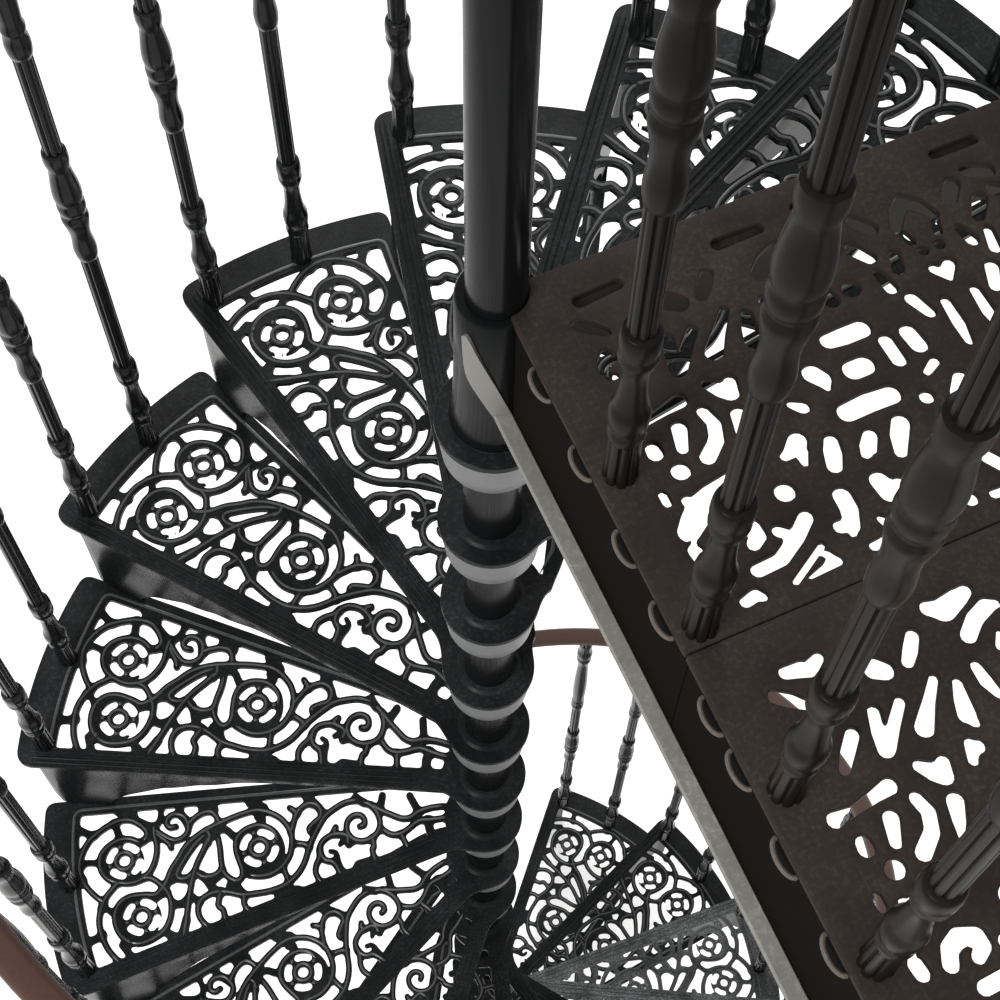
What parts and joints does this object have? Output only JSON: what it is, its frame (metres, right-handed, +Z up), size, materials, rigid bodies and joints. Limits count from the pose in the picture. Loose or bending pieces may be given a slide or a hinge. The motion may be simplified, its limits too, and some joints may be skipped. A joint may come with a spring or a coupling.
{
  "type": "spiral staircase",
  "caption": "Cast iron spiral staircase with pierced scroll treads on a centre pole, turned balusters, wooden handrail and a square landing.",
  "frame": {"origin": "where the centre pole's axis meets the floor, under the floor flange", "axes": "+Z up along the centre pole, +X along the landing's stepping edge away from the pole, -Y along the landing's open side"},
  "size_m": [1.1939, 1.194, 4.402],
  "materials": {
    "black_iron": "satin black paint on cast iron",
    "landing_iron": "worn brown-black paint on cast iron",
    "handrail_wood": "dark stained and varnished hardwood"
  },
  "bodies": {
    "root": {"balusters_01": "black_iron", "balusters_02": "black_iron", "balusters_03": "black_iron", "balusters_04": "black_iron", "balusters_05": "black_iron", "balusters_06": "black_iron", "balusters_07": "black_iron", "balusters_08": "black_iron", "centre_pole": "black_iron", "floor_flange": "black_iron", "handrail_1": "handrail_wood", "handrail_2": "handrail_wood", "handrail_3": "handrail_wood", "handrail_4": "handrail_wood", "handrail_5": "handrail_wood", "landing_back_bearer": "black_iron", "landing_balusters": "black_iron", "landing_collar": "black_iron", "landing_front_fascia": "black_iron", "landing_handrail": "handrail_wood", "landing_panel_1": "landing_iron", "landing_panel_2": "landing_iron", "landing_side_fascia": "black_iron", "landing_wall_bearer": "black_iron", "pole_cap": "black_iron", "spacer_sleeves": "black_iron", "tread_01": "black_iron", "tread_02": "black_iron", "tread_03": "black_iron", "tread_04": "black_iron", "tread_05": "black_iron", "tread_06": "black_iron", "tread_07": "black_iron", "tread_08": "black_iron", "tread_09": "black_iron", "tread_10": "black_iron", "tread_11": "black_iron", "tread_12": "black_iron", "tread_13": "black_iron", "tread_14": "black_iron", "tread_15": "black_iron", "tread_16": "black_iron"}
  },
  "joints": []
}
